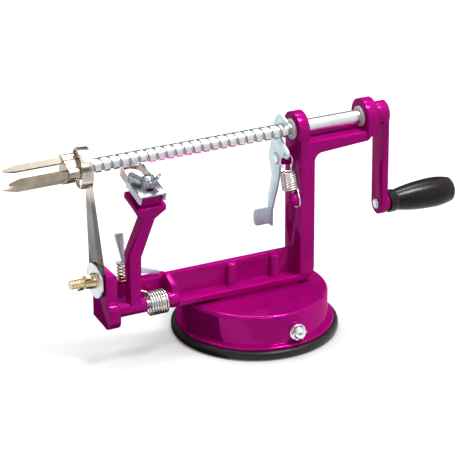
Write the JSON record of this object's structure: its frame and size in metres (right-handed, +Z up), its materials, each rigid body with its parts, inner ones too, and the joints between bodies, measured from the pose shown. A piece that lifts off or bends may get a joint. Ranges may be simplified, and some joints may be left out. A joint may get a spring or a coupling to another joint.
{
  "type": "apple peeler corer",
  "caption": "Hand-cranked apple peeler, corer and slicer: a cast frame on a suction base, a threaded feed shaft with a fork, a sprung peeling arm and a coring ring.",
  "frame": {"origin": "centre of the suction pad's underside, on the table", "axes": "+X along the feed shaft towards the crank, +Y away from the peeling arm's swing, +Z up"},
  "size_m": [0.3269, 0.1197, 0.1494],
  "materials": {
    "magenta_paint": "gloss enamel over a casting",
    "zinc_steel": "bright zinc plate",
    "warm_nickel": "warm nickel plate",
    "yellow_zinc": "yellow zinc plate",
    "spring_steel": "bright drawn wire",
    "blade_steel": "hardened and ground strip",
    "black_rubber": "moulded, satin",
    "black_plastic": "moulded, semi-gloss",
    "white_nylon": "moulded nylon"
  },
  "bodies": {
    "stand": {"frame": "magenta_paint", "front_bush": "white_nylon", "rear_bush": "white_nylon", "base_housing": "magenta_paint", "base_screws": "zinc_steel", "suction_pad": "black_rubber", "lever_pivot": "zinc_steel", "release_spring": "spring_steel", "arm_rod": "zinc_steel", "torsion_spring": "spring_steel", "slicer_blade": "warm_nickel", "slicer_washer": "zinc_steel", "slicer_stud": "yellow_zinc", "catch_pin": "zinc_steel", "catch_spring": "yellow_zinc"},
    "feed_washer": {"thrust_washer": "white_nylon"},
    "shaft": {"drive_shaft": "zinc_steel", "fork_hub": "warm_nickel", "fork_prongs": "warm_nickel", "crank_arm": "magenta_paint", "crank_screw": "zinc_steel", "grip_axle": "zinc_steel"},
    "grip": {"crank_grip": "black_plastic"},
    "release": {"release_lever": "zinc_steel"},
    "arm": {"peeler_arm": "magenta_paint", "blade_clip": "zinc_steel", "peeler_blade": "blade_steel", "blade_screw": "zinc_steel"},
    "blade_nut": {"blade_wing_nut": "zinc_steel"},
    "slicer_nut": {"slicer_wing_nut": "yellow_zinc"},
    "catch": {"catch_lever": "zinc_steel"},
    "cam": {"cam_shaft": "zinc_steel", "suction_lever": "magenta_paint", "cam_nut": "zinc_steel", "cam_washer": "zinc_steel"},
    "plunger": {"pad_plunger": "zinc_steel"}
  },
  "joints": [
    {"name": "shaft_feed", "type": "slide", "parent": "stand", "child": "feed_washer", "axis": [1, 0, 0], "range_m": [0, 0.10805]},
    {"name": "crank_turn", "type": "hinge", "parent": "feed_washer", "child": "shaft", "pos_m": [0.09, 0, 0.136], "axis": [1, 0, 0], "range_deg": [0, 6120]},
    {"name": "grip_spin", "type": "hinge", "parent": "shaft", "child": "grip", "pos_m": [0.12, 0, 0.0705], "axis": [1, 0, 0], "continuous": true},
    {"name": "release_swing", "type": "hinge", "parent": "stand", "child": "release", "pos_m": [0.0208, 0.008, 0.1135], "axis": [1, 0, 0], "range_deg": [-8, 0], "stiffness_Nm_per_rad": 0.3, "springref_deg": 8.59, "deforming": ["release_spring"]},
    {"name": "arm_swing", "type": "hinge", "parent": "stand", "child": "arm", "pos_m": [-0.092, -0.009, 0.0367], "axis": [1, 0, 0], "range_deg": [0, 65], "stiffness_Nm_per_rad": 0.25, "springref_deg": -34.38, "deforming": ["torsion_spring"]},
    {"name": "blade_nut_turn", "type": "hinge", "parent": "arm", "child": "blade_nut", "pos_m": [-0.0805, -0.0065, 0.1183], "axis": [0, -0.2419, 0.9703], "continuous": true},
    {"name": "slicer_nut_turn", "type": "hinge", "parent": "stand", "child": "slicer_nut", "pos_m": [-0.118, 0.002, 0.0555], "axis": [-1, 0, 0], "continuous": true},
    {"name": "catch_tilt", "type": "hinge", "parent": "stand", "child": "catch", "pos_m": [-0.085, 0.006, 0.056], "axis": [0, -1, 0], "range_deg": [0, 8], "stiffness_Nm_per_rad": 0.12, "springref_deg": -8.59, "deforming": ["catch_spring"]},
    {"name": "suction_lock", "type": "hinge", "parent": "stand", "child": "cam", "pos_m": [0.006, 0, 0.015], "axis": [0, -1, 0], "range_deg": [0, 90]},
    {"name": "pad_lift", "type": "slide", "parent": "stand", "child": "plunger", "axis": [0, 0, 1], "range_m": [0, 0.00401]}
  ],
  "couplings": [
    {"joint": "shaft_feed", "follows": "crank_turn", "m_per_rad": 0.0010106},
    {"joint": "pad_lift", "follows": "suction_lock", "m_per_rad": 0.0025465}
  ]
}
